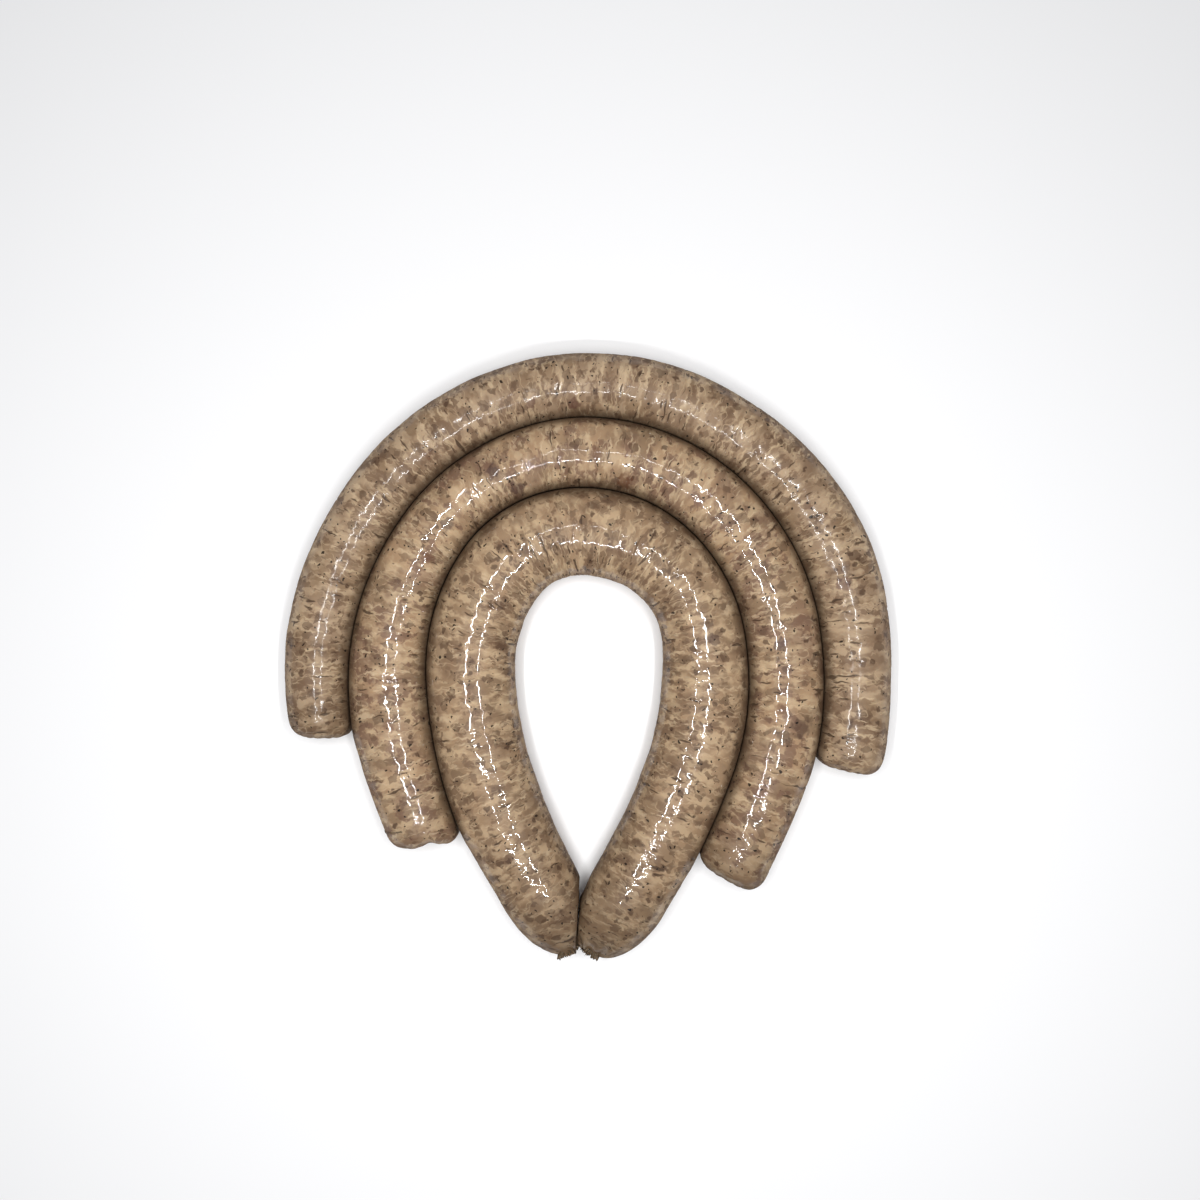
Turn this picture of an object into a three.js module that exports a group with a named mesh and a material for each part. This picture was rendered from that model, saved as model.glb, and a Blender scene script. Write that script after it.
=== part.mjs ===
// A string of three raw sausage links, laid down as nested horseshoes: each link lies against
// the one inside it, and the innermost link closes on itself where its two ends meet.
// Millimetres, +Z up. The origin is on the surface that the links lie on, under the middle of
// the whole string. The horseshoes open towards -Y, and +X is to the right.
//
// All the links are bent along one line, so their shapes are worked out in that line's own
// coordinates: s runs along it from the crown (negative down the left arm, positive down the
// right), u is the distance out from a link's middle in the plane, and z is the height.

import * as THREE from "three";
import { mergeVertices } from "three/addons/utils/BufferGeometryUtils.js";

// The line that the innermost link is bent along: the length and the turn in degrees of each
// arc, from the crown down each arm. Past its last arc an arm runs on straight.
const LEFT_ARM = [[33.1, 56.5], [36.2, 36.6], [64.9, 26.3]];
const RIGHT_ARM = [[60, 83], [43.2, 26.3], [39.3, 10.5]];

// How the skins are filled.
const FULLNESS = 2.2; // exponent of the section: 2 is an ellipse, and more is boxier
const GIVE = 0.4; // share of a link's narrowing that comes back as height
const SAG = 1.3; // how far a link settles, which makes the flat that it lies on
const PRESS = 0.6; // how far a side would reach into its neighbour if both were firm
const PRESS_FADE = 8; // length over which a pressed side eases off past its neighbour's end
const GAP = 0.4; // left between two skins that touch

// The line that the two ends of the innermost link meet on, measured from the crown. x is its
// place at the height y on the plan, lean is how far it moves in x for each unit of y, and
// reach is how far up from its ends the link can touch it.
const SEAM = { x: -0.9, y: -126.5, lean: 0.06, reach: 40 };

// The ends of the links. length and roundness shape the cap, dimple is how deep its middle is
// drawn in, and level is the height of its middle as a share of the link's. A blunt end is
// where the string was cut. A gathered end has its skin twisted into a short stub.
const BLUNT = { length: 9, roundness: 3.1, dimple: 2.2, stub: 0, level: 0.5 };
const GATHERED = { length: 25, roundness: 2.1, dimple: 0, stub: 2.4, level: 0.43 };
const STUB_SIZE = 0.12; // the stub's thickness as a share of the link's

const AROUND = 20; // facets round a link
const CAP_RINGS = 6; // rings of corners in each cap
const RING_STEP = 6; // distance between the other rings, along the bending line

// The links from the inside out. span is where a link starts and ends along the line, girth is
// its half width at a few stations, and rise is half its usual height. slant is how much
// further back each end lies for each unit of u, and crease is a fold that runs up an end.
// pressed is the stretch over which each side lies against a neighbour.
const LINKS = [
  {
    name: "link_inner",
    color: "#a98f72",
    span: [-169.5, 175],
    rise: 13.7,
    girth: [[-150, 13.8], [-112, 15.1], [-50, 14.9], [8, 14.8], [44, 13.6], [86, 14.8], [125, 14.2]],
    ends: [GATHERED, GATHERED],
    slant: [0, 0],
    pressed: { out: [-117, 132] },
  },
  {
    name: "link_middle",
    color: "#ae9478",
    span: [-117.7, 132.4],
    rise: 12.6,
    girth: [[-112, 12], [-80, 13.3], [-19, 11.2], [5, 11.9], [60, 12.7], [92, 12.7], [125, 12.2]],
    ends: [{ ...BLUNT, crease: { u: -2, width: 3, depth: 1.4 } }, BLUNT],
    slant: [0.27, -0.03],
    pressed: { in: [-117, 132], out: [-81, 93] },
  },
  {
    name: "link_outer",
    color: "#a58c70",
    span: [-82.5, 93.5],
    rise: 12,
    girth: [[-80, 10.5], [-58, 11.3], [-33, 11.2], [-10, 11.1], [20, 11.4], [48, 12.4], [80, 11.6]],
    ends: [BLUNT, BLUNT],
    slant: [0.15, 0],
    pressed: { in: [-82, 93] },
  },
];

const blend = THREE.MathUtils.lerp;
const ease = THREE.MathUtils.smoothstep;

/** A cosine or a sine, squared off by the given exponent of a superellipse. */
function squared(wave, exponent) {
  return Math.sign(wave) * Math.abs(wave) ** (2 / exponent);
}

/** The line that the links are bent along. */
class BendingLine {
  constructor(leftArm, rightArm) {
    this.leftArm = leftArm;
    this.rightArm = rightArm;
  }

  /** The point at s, the outward direction there, and the bend in radians for each unit. */
  at(s) {
    const leftward = s < 0;
    const turning = leftward ? 1 : -1;
    const point = new THREE.Vector2();
    let heading = leftward ? Math.PI : 0;
    let bend = 0;
    let rest = Math.abs(s);
    for (const [length, degrees] of leftward ? this.leftArm : this.rightArm) {
      const run = Math.min(rest, length);
      if (run > 0) bend = THREE.MathUtils.degToRad(degrees) / length;
      const halfTurn = (turning * bend * run) / 2;
      const chord = halfTurn === 0 ? run : (run * Math.sin(halfTurn)) / halfTurn;
      point.x += chord * Math.cos(heading + halfTurn);
      point.y += chord * Math.sin(heading + halfTurn);
      heading += 2 * halfTurn;
      rest -= run;
    }
    point.x += rest * Math.cos(heading);
    point.y += rest * Math.sin(heading);
    const outward = heading - (turning * Math.PI) / 2;
    return { point, outward: new THREE.Vector2(Math.cos(outward), Math.sin(outward)), bend };
  }
}

const line = new BendingLine(LEFT_ARM, RIGHT_ARM);

/** A link's half width at s, which eases from station to station and is level past the last. */
function halfWidth(link, s) {
  const next = link.girth.findIndex(([station]) => station > s);
  if (next === 0) return link.girth[0][1];
  if (next < 0) return link.girth.at(-1)[1];
  const [from, fromWidth] = link.girth[next - 1];
  const [to, toWidth] = link.girth[next];
  return blend(fromWidth, toWidth, ease(s, from, to));
}

/** How far out from the bending line the middle of a link lies at s. */
function offset(index, s) {
  if (index === 0) return 0;
  return offset(index - 1, s) + halfWidth(LINKS[index - 1], s) + halfWidth(LINKS[index], s);
}

/** How hard a side is pressed at s: 1 beside its neighbour, easing to 0 past its ends. */
function pressure(stretch, s) {
  if (!stretch) return 0;
  const [from, to] = stretch;
  return ease(s, from - PRESS_FADE, from) * (1 - ease(s, to, to + PRESS_FADE));
}

/** The point of a link's full section at an angle up from its outer side. */
function section(link, s, angle) {
  const half = halfWidth(link, s);
  const side = squared(Math.cos(angle), FULLNESS);
  const height = squared(Math.sin(angle), FULLNESS);
  const bulge = half + PRESS * pressure(side > 0 ? link.pressed.out : link.pressed.in, s);
  const limit = half - GAP / 2;
  const halfHeight = link.rise + GIVE * (link.rise - half) + SAG / 2;
  const u = THREE.MathUtils.clamp(bulge * side, -limit, limit);
  const z = Math.max(halfHeight * (1 + height) - SAG, 0);
  return { u, z, top: 2 * halfHeight - SAG };
}

/** The rings of an end from its tip inwards: depth from the end, and size as a share. */
function capRings(end) {
  const rings = [{ depth: end.dimple - end.stub, size: 0 }];
  if (end.stub) rings.push({ depth: -end.stub, size: STUB_SIZE });
  for (let i = 1; i <= CAP_RINGS; i++) {
    const turn = ((i / CAP_RINGS) * Math.PI) / 2;
    const size = squared(Math.sin(turn), end.roundness);
    const rounding = end.length * (1 - squared(Math.cos(turn), end.roundness));
    rings.push({ depth: rounding + end.dimple * (1 - size) ** 2, size });
  }
  return rings;
}

/** All the rings of a link from its left end to its right: s, size, and the cap if any. */
function linkRings(link, index) {
  const [left, right] = link.span.map((end, side) => {
    const inward = side === 0 ? 1 : -1;
    const stretch = 1 + line.at(end).bend * offset(index, end);
    return capRings(link.ends[side]).map(({ depth, size }) => {
      const cap = { ...link.ends[side], depth, inward, slant: link.slant[side] };
      return { s: end + (inward * depth) / stretch, size, cap };
    });
  });
  const from = left.at(-1).s;
  const to = right.at(-1).s;
  const steps = Math.round((to - from) / RING_STEP);
  const body = [];
  for (let i = 1; i < steps; i++) body.push({ s: blend(from, to, i / steps), size: 1 });
  return [...left, ...body, ...right.reverse()];
}

/** How far back an end's skin lies at u, by the end's slant and its crease. */
function setBack(cap, u) {
  const { crease, slant } = cap;
  const fold = crease ? crease.depth * Math.exp(-(((u - crease.u) / crease.width) ** 2)) : 0;
  return (slant * u + fold) * Math.exp(-Math.max(cap.depth, 0) / cap.length);
}

/** Keeps a point near either end of the innermost link on its own side of the seam. */
function keepToSide(point, s) {
  const seam = SEAM.x + SEAM.lean * (point.y - SEAM.y);
  const [from, to] = LINKS[0].span;
  if (s < from + SEAM.reach) point.x = Math.min(point.x, seam - GAP / 2);
  if (s > to - SEAM.reach) point.x = Math.max(point.x, seam + GAP / 2);
}

/** One point of a link's skin, on a ring at an angle up from the link's outer side. */
function skinPoint(link, index, ring, angle) {
  const full = section(link, ring.s, angle);
  const u = full.u * ring.size;
  let { z } = full;
  let { s } = ring;
  if (ring.cap) {
    z = blend(full.top * ring.cap.level, full.z, ring.size);
    s += ring.cap.inward * setBack(ring.cap, u);
  }
  const { point, outward } = line.at(s);
  point.addScaledVector(outward, offset(index, ring.s) + u);
  if (index === 0) keepToSide(point, s);
  return new THREE.Vector3(point.x, point.y, z);
}

/** A link: a sphere's grid of facets drawn out into rings along the bending line. */
function makeLink(link, index) {
  const rings = linkRings(link, index);
  const skin = new THREE.SphereGeometry(1, AROUND, rings.length - 1);
  const corners = skin.getAttribute("position");
  for (let i = 0; i < corners.count; i++) {
    const ring = rings[Math.floor(i / (AROUND + 1))];
    const place = (i % (AROUND + 1)) % AROUND;
    const corner = skinPoint(link, index, ring, (-2 * Math.PI * place) / AROUND);
    corners.setXYZ(i, corner.x, corner.y, corner.z);
  }
  skin.deleteAttribute("normal");
  skin.deleteAttribute("uv");
  const body = mergeVertices(skin);
  body.computeVertexNormals();
  const casing = new THREE.MeshStandardMaterial({ color: link.color, roughness: 0.38, metalness: 0 });
  const mesh = new THREE.Mesh(body, casing);
  mesh.name = link.name;
  return mesh;
}

const string = new THREE.Group();
LINKS.forEach((link, index) => string.add(makeLink(link, index)));

// The origin is set under the middle of the string.
const middle = new THREE.Box3().setFromObject(string).getCenter(new THREE.Vector3());
string.position.set(-middle.x, -middle.y, 0);

export default string;
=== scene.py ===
"""A string of raw sausage links in natural casing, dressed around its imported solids.

The links are laid down as nested horseshoes. All of them are bent along one line, so each skin
is worked out in that line's own coordinates: s runs along it from the crown, negative down the
left arm and positive down the right, and u is the distance out from a link's middle. Sizes are
in millimetres in the classes, and in metres in every mesh.
"""

import logging
import math
from dataclasses import dataclass, field, replace
from enum import Enum
from typing import Any, Callable, Mapping

import bpy
import numpy as np
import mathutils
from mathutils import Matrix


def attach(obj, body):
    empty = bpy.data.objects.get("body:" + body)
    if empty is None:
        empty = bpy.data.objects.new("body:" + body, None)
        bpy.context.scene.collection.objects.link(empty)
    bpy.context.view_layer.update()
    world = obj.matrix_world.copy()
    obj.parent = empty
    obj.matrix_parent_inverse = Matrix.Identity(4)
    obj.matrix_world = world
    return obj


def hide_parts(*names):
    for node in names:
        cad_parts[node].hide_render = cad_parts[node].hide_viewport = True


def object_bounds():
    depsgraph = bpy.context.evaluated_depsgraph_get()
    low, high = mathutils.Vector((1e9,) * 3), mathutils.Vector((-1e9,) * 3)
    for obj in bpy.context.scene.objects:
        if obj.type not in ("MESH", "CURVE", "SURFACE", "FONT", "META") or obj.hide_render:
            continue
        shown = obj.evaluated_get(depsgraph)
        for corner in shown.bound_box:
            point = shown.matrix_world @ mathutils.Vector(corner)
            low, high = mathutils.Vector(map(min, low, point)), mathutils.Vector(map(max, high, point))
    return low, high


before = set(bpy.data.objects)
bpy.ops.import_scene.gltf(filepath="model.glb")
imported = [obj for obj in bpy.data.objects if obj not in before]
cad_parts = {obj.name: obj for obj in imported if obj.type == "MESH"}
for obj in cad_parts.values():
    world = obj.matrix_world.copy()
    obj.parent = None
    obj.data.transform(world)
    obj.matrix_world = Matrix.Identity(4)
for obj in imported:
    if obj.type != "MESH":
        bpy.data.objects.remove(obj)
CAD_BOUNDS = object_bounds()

MM = 0.001
BODY = "root"
UNBENT = "unbent"
SQUEEZE = "squeeze"
SHADE = "shade"
PLEATS = "pleats"
FREE = "free"
LOW_RELIEF = 0.15
Settings = Mapping[str, Any] | None
Sockets = Mapping[str | int, Any] | None
log = logging.getLogger("sausage_links")


# Node trees, written as expressions


class Wire:
    """An output of a node, which other nodes read."""

    def __init__(self, graph: "Graph", socket: bpy.types.NodeSocket) -> None:
        """Keeps the graph, so that an expression can add its nodes to it."""
        self.graph = graph
        self.socket = socket


def operator(operation: str, swapped: bool = False) -> Callable[[Any, Any], Any]:
    """Makes a method that works on a wire and another value with one node."""

    def method(self: Any, other: Any) -> Any:
        """Works on the two, in their own order or swapped."""
        return self.math(operation, *((other, self) if swapped else (self, other)))

    return method


def function(operation: str) -> Callable[[Any], Any]:
    """Makes a method that works on a wire alone with one node."""

    def method(self: Any) -> Any:
        """Works on the wire."""
        return self.math(operation, self)

    return method


class Number(Wire):
    """A number that varies over the surface. An expression on it adds Math nodes."""

    __add__, __radd__ = operator("ADD"), operator("ADD", True)
    __sub__, __rsub__ = operator("SUBTRACT"), operator("SUBTRACT", True)
    __mul__, __rmul__ = operator("MULTIPLY"), operator("MULTIPLY", True)
    __truediv__, __rtruediv__ = operator("DIVIDE"), operator("DIVIDE", True)
    __pow__ = operator("POWER")
    above = operator("GREATER_THAN")
    __abs__, sign, floor = function("ABSOLUTE"), function("SIGN"), function("FLOOR")
    sin, cos, exp = function("SINE"), function("COSINE"), function("EXPONENT")

    def math(self, operation: str, *values: Any) -> "Number":
        """Adds one Math node that works on the given values."""
        sockets = dict(enumerate(values))
        return self.graph.number("ShaderNodeMath", {"operation": operation}, sockets)

    def __neg__(self) -> "Number":
        """The number with its sign turned."""
        return self * -1.0

    def least(self, other: Any, softness: float = 0.0) -> "Number":
        """The smaller of two numbers, with a rounded corner of the given size."""
        return self.math("SMOOTH_MIN", self, other, softness)

    def most(self, other: Any, softness: float = 0.0) -> "Number":
        """The larger of two numbers, with a rounded corner of the given size."""
        return self.math("SMOOTH_MAX", self, other, softness)

    def ease(self, start: float, end: float) -> "Number":
        """Eases from 0 to 1 as the number goes from start to end, whichever is larger."""
        if start > end:
            return 1.0 - self.ease(end, start)
        settings = {"interpolation_type": "SMOOTHSTEP"}
        return self.graph.number("ShaderNodeMapRange", settings, {0: self, 1: start, 2: end})

    def blend(self, low: Any, high: Any) -> "Number":
        """Goes from low to high as the number goes from 0 to 1."""
        sockets = {0: self, 2: low, 3: high}
        return self.graph.number("ShaderNodeMix", {"data_type": "FLOAT"}, sockets)

    def tint(self, low: Any, high: Any) -> "Vector":
        """Goes from one colour to another as the number goes from 0 to 1."""
        sockets = {0: self, 6: low, 7: high}
        return self.graph.vector("ShaderNodeMix", {"data_type": "RGBA"}, sockets, 2)


class Vector(Wire):
    """A vector or a colour that varies over the surface."""

    __add__, __sub__, __mul__ = operator("ADD"), operator("SUBTRACT"), operator("MULTIPLY")

    def math(self, operation: str, *values: Any) -> "Vector":
        """Adds one Vector Math node that works on the given values."""
        sockets = dict(enumerate(values))
        return self.graph.vector("ShaderNodeVectorMath", {"operation": operation}, sockets)

    def scaled(self, factor: Any) -> "Vector":
        """The vector times a number."""
        sockets = {0: self, "Scale": factor}
        return self.graph.vector("ShaderNodeVectorMath", {"operation": "SCALE"}, sockets)

    def length(self) -> Number:
        """Its length."""
        settings = {"operation": "LENGTH"}
        return self.graph.number("ShaderNodeVectorMath", settings, {0: self}, "Value")

    def parts(self) -> tuple[Number, ...]:
        """Its three parts."""
        split = self.graph.add("ShaderNodeSeparateXYZ", {}, {0: self})
        return tuple(Number(self.graph, output) for output in split.outputs)

    def noise(self, detail: float = 1.0, roughness: float = 0.5) -> Number:
        """Soft noise between 0 and 1, with about one hump for each unit of the place."""
        sockets = {"Vector": self, "Scale": 1.0, "Detail": detail, "Roughness": roughness}
        return self.graph.number("ShaderNodeTexNoise", {"noise_dimensions": "3D"}, sockets)

    def pushed(self, scale: float, reach: float) -> "Vector":
        """The place pushed about by noise, by up to half of reach each way."""
        sockets = {"Vector": self, "Scale": scale, "Detail": 1.0}
        push = self.graph.vector("ShaderNodeTexNoise", {"noise_dimensions": "3D"}, sockets, 1)
        return self + (push - (0.5, 0.5, 0.5)).scaled(reach)

    def cells(self) -> tuple[Number, Number, Number]:
        """The distance to the nearest of scattered points, and two chance numbers of its own."""
        settings = {"voronoi_dimensions": "3D", "feature": "F1"}
        node = self.graph.add("ShaderNodeTexVoronoi", settings, {"Vector": self, "Scale": 1.0})
        chance, other, _ = Vector(self.graph, node.outputs["Color"]).parts()
        return Number(self.graph, node.outputs["Distance"]), chance, other


class Graph:
    """A shader tree or a geometry tree that nodes are added to."""

    def __init__(self, tree: bpy.types.NodeTree) -> None:
        """Starts on a tree."""
        self.tree = tree

    def add(
        self, kind: str, settings: Settings = None, sockets: Sockets = None
    ) -> bpy.types.Node:
        """Adds a node.

        Args:
            kind: the node's type.
            settings: its properties, which are set before its sockets.
            sockets: a value or a wire for each input, by name or by place.

        Returns:
            The node.
        """
        node = self.tree.nodes.new(kind)
        for name, value in (settings or {}).items():
            setattr(node, name, value)
        for key, value in (sockets or {}).items():
            socket = self.find(node.inputs, key)
            if isinstance(value, Wire):
                self.tree.links.new(value.socket, socket)
            else:
                socket.default_value = value
        return node

    @staticmethod
    def find(sockets: Any, key: str | int) -> bpy.types.NodeSocket:
        """A socket in use, by its name, or by its place among them all."""
        if isinstance(key, int):
            return sockets[key]
        return next(s for s in sockets if s.name == key and s.enabled)

    def wire(
        self, kind: str, settings: Settings = None, sockets: Sockets = None, output: str | int = 0
    ) -> Wire:
        """Adds a node and gives one of its outputs."""
        return Wire(self, self.find(self.add(kind, settings, sockets).outputs, output))

    def number(self, *node: Any) -> Number:
        """Adds a node as wire does, and gives its output as a number."""
        return Number(self, self.wire(*node).socket)

    def vector(self, *node: Any) -> Vector:
        """Adds a node as wire does, and gives its output as a vector or a colour."""
        return Vector(self, self.wire(*node).socket)

    def combine(self, x: Any, y: Any, z: Any) -> Vector:
        """A vector from its three parts."""
        return self.vector("ShaderNodeCombineXYZ", {}, {0: x, 1: y, 2: z})


class GeometryTree(Graph):
    """A geometry tree with a named input for each size."""

    def __init__(self, name: str, inputs: Mapping[str, Any]) -> None:
        """Makes an empty tree.

        Args:
            name: the tree's name.
            inputs: a value for each input, by name. An input's kind follows from its value.
        """
        super().__init__(bpy.data.node_groups.new(name, "GeometryNodeTree"))
        self.inputs = inputs
        face = self.tree.interface
        face.new_socket("Geometry", in_out="INPUT", socket_type="NodeSocketGeometry")
        kinds = {int: "Int", float: "Float", tuple: "Vector", bpy.types.Material: "Material"}
        for label, value in inputs.items():
            kind = "NodeSocket" + kinds[type(value)]
            face.new_socket(label, in_out="INPUT", socket_type=kind)
        face.new_socket("Result", in_out="OUTPUT", socket_type="NodeSocketGeometry")
        group = self.add("NodeGroupInput")
        makers = {int: Number, float: Number, tuple: Vector}
        self.given = {
            label: makers.get(type(inputs.get(label)), Wire)(self, group.outputs[label])
            for label in ("Geometry", *inputs)
        }

    def ball(self, rings: Any, facets: Any) -> tuple[Wire, Number, Number]:
        """A ball, with each point's ring and its angle round that ring."""
        index = self.number("GeometryNodeInputIndex")
        ring = ((index - 0.5) / facets).floor() + 1.0
        column = index - 1.0 - (ring - 1.0) * facets
        sockets = {"Segments": facets, "Rings": rings}
        ball = self.wire("GeometryNodeMeshUVSphere", {}, sockets, "Mesh")
        return ball, ring, column / facets * (-2 * math.pi)

    def read(self, name: str, kind: str = "FLOAT") -> Any:
        """An attribute that is stored on the geometry."""
        make = self.number if kind == "FLOAT" else self.vector
        settings = {"data_type": kind}
        return make("GeometryNodeInputNamedAttribute", settings, {"Name": name}, "Attribute")

    def store(self, geometry: Wire, values: Mapping[str, Wire]) -> Wire:
        """Stores numbers or vectors at each point of a geometry, by name."""
        for name, value in values.items():
            kind = "FLOAT_VECTOR" if isinstance(value, Vector) else "FLOAT"
            settings = {"data_type": kind, "domain": "POINT"}
            sockets = {"Geometry": geometry, "Name": name, "Value": value}
            geometry = self.wire("GeometryNodeStoreNamedAttribute", settings, sockets)
        return geometry

    def close(self, geometry: Wire) -> None:
        """Ends the tree with smooth shading, real geometry and its material."""
        smooth = self.wire("GeometryNodeSetShadeSmooth", {}, {"Geometry": geometry})
        real = self.wire("GeometryNodeRealizeInstances", {}, {"Geometry": smooth})
        sockets = {"Geometry": real, "Material": self.given["Material"]}
        dressed = self.wire("GeometryNodeSetMaterial", {}, sockets)
        self.add("NodeGroupOutput", {}, {"Result": dressed})

    def grow(self, name: str, seed_mesh: bpy.types.Mesh) -> bpy.types.Object:
        """Runs the tree, and keeps the plain mesh that it makes.

        Args:
            name: the new piece's name.
            seed_mesh: what the tree's geometry input holds.

        Returns:
            The piece.
        """
        piece = bpy.data.objects.new(name, seed_mesh)
        bpy.context.scene.collection.objects.link(piece)
        modifier = piece.modifiers.new(self.tree.name, "NODES")
        modifier.node_group = self.tree
        for item in self.tree.interface.items_tree:
            if item.in_out == "INPUT" and item.name in self.inputs:
                modifier[item.identifier] = self.inputs[item.name]
        shaped = piece.evaluated_get(bpy.context.evaluated_depsgraph_get())
        mesh = bpy.data.meshes.new_from_object(shaped)
        piece.modifiers.clear()
        piece.data = mesh
        bpy.data.meshes.remove(seed_mesh)
        return piece


def linear(code: str) -> tuple[float, float, float, float]:
    """A colour for a shader from its hexadecimal code."""
    shares = (int(code[i : i + 2], 16) / 255 for i in (1, 3, 5))
    parts = (s / 12.92 if s <= 0.04045 else ((s + 0.055) / 1.055) ** 2.4 for s in shares)
    return (*parts, 1.0)


def ease(share: float) -> float:
    """Eases from 0 to 1 as its argument does, and is level outside that."""
    share = min(max(share, 0.0), 1.0)
    return share * share * (3 - 2 * share)


# Patterns that the relief and the finish share


@dataclass(frozen=True)
class Marks:
    """How large one kind of mark is round a link and along it, and where its pattern starts."""

    around: float
    along: float
    start: float


@dataclass(frozen=True)
class SkinPatterns:
    """The unevenness of a filled casing, read from a place on the unbent link.

    The third part of the place runs along the link and the others run across it. A pattern
    with marks that are shorter along than around has marks that run round the link.
    """

    seed: float
    lump_marks: Marks = Marks(17, 13, 3.1)
    grain_marks: Marks = Marks(3.6, 2.3, 7.7)
    wrinkle_marks: Marks = Marks(7.5, 1.35, 12.3)
    wrinkle_sharpness: float = 9.0
    crease_marks: Marks = Marks(7.5, 1.25, 21.0)
    crease_edges: tuple[float, float] = (0.715, 0.765)
    crease_growth: float = 0.045
    swing: float = 2.6

    def place(self, spot: Vector, marks: Marks) -> Vector:
        """A place measured in marks, from where the pattern starts."""
        start = (self.seed + marks.start, marks.start * 2.7, self.seed * 1.9)
        return spot * (1 / marks.around, 1 / marks.around, 1 / marks.along) + start

    def lumps(self, spot: Vector) -> Number:
        """Broad swellings of the filling, from -1 to 1."""
        return (self.place(spot, self.lump_marks).noise() - 0.5) * self.swing

    def grains(self, spot: Vector) -> Number:
        """The coarse grains of meat under the casing, from -1 to 1."""
        return (self.place(spot, self.grain_marks).noise(1.5) - 0.5) * self.swing

    def wrinkles(self, spot: Vector) -> Number:
        """Fine ridges that run round the link, from -1 to 1."""
        wave = self.place(spot.pushed(0.14, 4.0), self.wrinkle_marks).noise()
        return 1.0 - abs(wave - 0.5) * self.wrinkle_sharpness

    def creases(self, spot: Vector, tight: Number, widening: float = 0.02) -> Number:
        """Short sharp creases that run round the link, and more of them where it is tight.

        Args:
            spot: the place on the unbent link.
            tight: 1 where the casing is squeezed along the link, and 0 where it is stretched.
            widening: how much wider the creases are than the finest.

        Returns:
            1 in a crease, and 0 elsewhere.
        """
        wave = self.place(spot.pushed(0.3, 1.8), self.crease_marks).noise(0.6)
        low, high = self.crease_edges
        return (wave + tight * self.crease_growth).ease(low - widening, high)


# The line that the links are bent along


@dataclass(frozen=True)
class Arc:
    """A stretch of the bending line: its length, and how far it turns."""

    length: float
    degrees: float


@dataclass(frozen=True)
class BendingLine:
    """The arcs down each arm from the crown. Past its last arc an arm runs on straight."""

    left: tuple[Arc, ...] = (Arc(33.1, 56.5), Arc(36.2, 36.6), Arc(64.9, 26.3))
    right: tuple[Arc, ...] = (Arc(60, 83), Arc(43.2, 26.3), Arc(39.3, 10.5))

    def at(self, s: float) -> tuple[np.ndarray, np.ndarray, float]:
        """Where the line is.

        Args:
            s: the distance from the crown.

        Returns:
            The point, the outward direction there, and the bend in radians a millimetre.
        """
        turning = 1 if s < 0 else -1
        heading = math.pi if s < 0 else 0.0
        point = np.zeros(2)
        bend = 0.0
        rest = abs(s)
        for arc in self.left if s < 0 else self.right:
            run = min(rest, arc.length)
            if run > 0:
                bend = math.radians(arc.degrees) / arc.length
            half_turn = turning * bend * run / 2
            chord = run * (math.sin(half_turn) / half_turn if half_turn else 1.0)
            aim = heading + half_turn
            point += chord * np.array([math.cos(aim), math.sin(aim)])
            heading += 2 * half_turn
            rest -= run
        point += rest * np.array([math.cos(heading), math.sin(heading)])
        outward = heading - turning * math.pi / 2
        return point, np.array([math.cos(outward), math.sin(outward)]), bend


# Links


@dataclass(frozen=True)
class EndShape:
    """An end of a link: its cap, the dimple or stub in its middle, its pleats and its painted shade.

    The stub's size is a share of the full section, and so is the level that the cap closes at.
    """

    length: float
    roundness: float
    level: float
    dimple: float = 0.0
    stub: float = 0.0
    stub_size: float = 0.12
    stub_taper: float = 0.03
    slant: float = 0.0
    fold: float = 0.0
    pleat: float = 0.0
    pleat_reach: float = 4.0
    shade: float = 0.3
    shade_reach: float = 12.0


BLUNT = EndShape(9, 3.1, 0.5, dimple=2.2, pleat=0.14)
GATHERED = EndShape(
    25, 2.1, 0.43, stub=0.8, pleat=0.5, pleat_reach=5.0, shade=0.95, shade_reach=34.0
)


@dataclass(frozen=True)
class Link:
    """One sausage: where it starts and ends along the line, and its girth on the way."""

    node: str
    slot: str
    span: tuple[float, float]
    rise: float
    girth: tuple[tuple[float, float], ...]
    ends: tuple[EndShape, EndShape]
    pressed_in: tuple[float, float] | None = None
    pressed_out: tuple[float, float] | None = None
    meets_itself: bool = False

    def half_width(self, s: float) -> float:
        """Half its width at s, eased from station to station and level past the last."""
        if s < self.girth[0][0]:
            return self.girth[0][1]
        for (start, low), (end, high) in zip(self.girth, self.girth[1:]):
            if s < end:
                return low + (high - low) * ease((s - start) / (end - start))
        return self.girth[-1][1]


LINKS = (
    Link(
        "link_inner",
        "inner_casing",
        (-169.5, 175),
        13.7,
        ((-150, 13.8), (-112, 15.1), (-50, 14.9), (8, 14.8), (44, 13.6), (86, 14.8), (125, 14.2)),
        (GATHERED, GATHERED),
        pressed_out=(-117, 132),
        meets_itself=True,
    ),
    Link(
        "link_middle",
        "middle_casing",
        (-117.7, 132.4),
        12.6,
        ((-112, 12), (-80, 13.3), (-19, 11.2), (5, 11.9), (60, 12.7), (92, 12.7), (125, 12.2)),
        (
            replace(BLUNT, slant=0.27, fold=1.4, shade=0.5),
            replace(BLUNT, slant=-0.03, shade=1.0, shade_reach=15.0),
        ),
        pressed_in=(-117, 132),
        pressed_out=(-81, 93),
    ),
    Link(
        "link_outer",
        "outer_casing",
        (-82.5, 93.5),
        12,
        ((-80, 10.5), (-58, 11.3), (-33, 11.2), (-10, 11.1), (20, 11.4), (48, 12.4), (80, 11.6)),
        (replace(BLUNT, slant=0.15, shade=0.6), BLUNT),
        pressed_in=(-82, 93),
    ),
)


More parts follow.
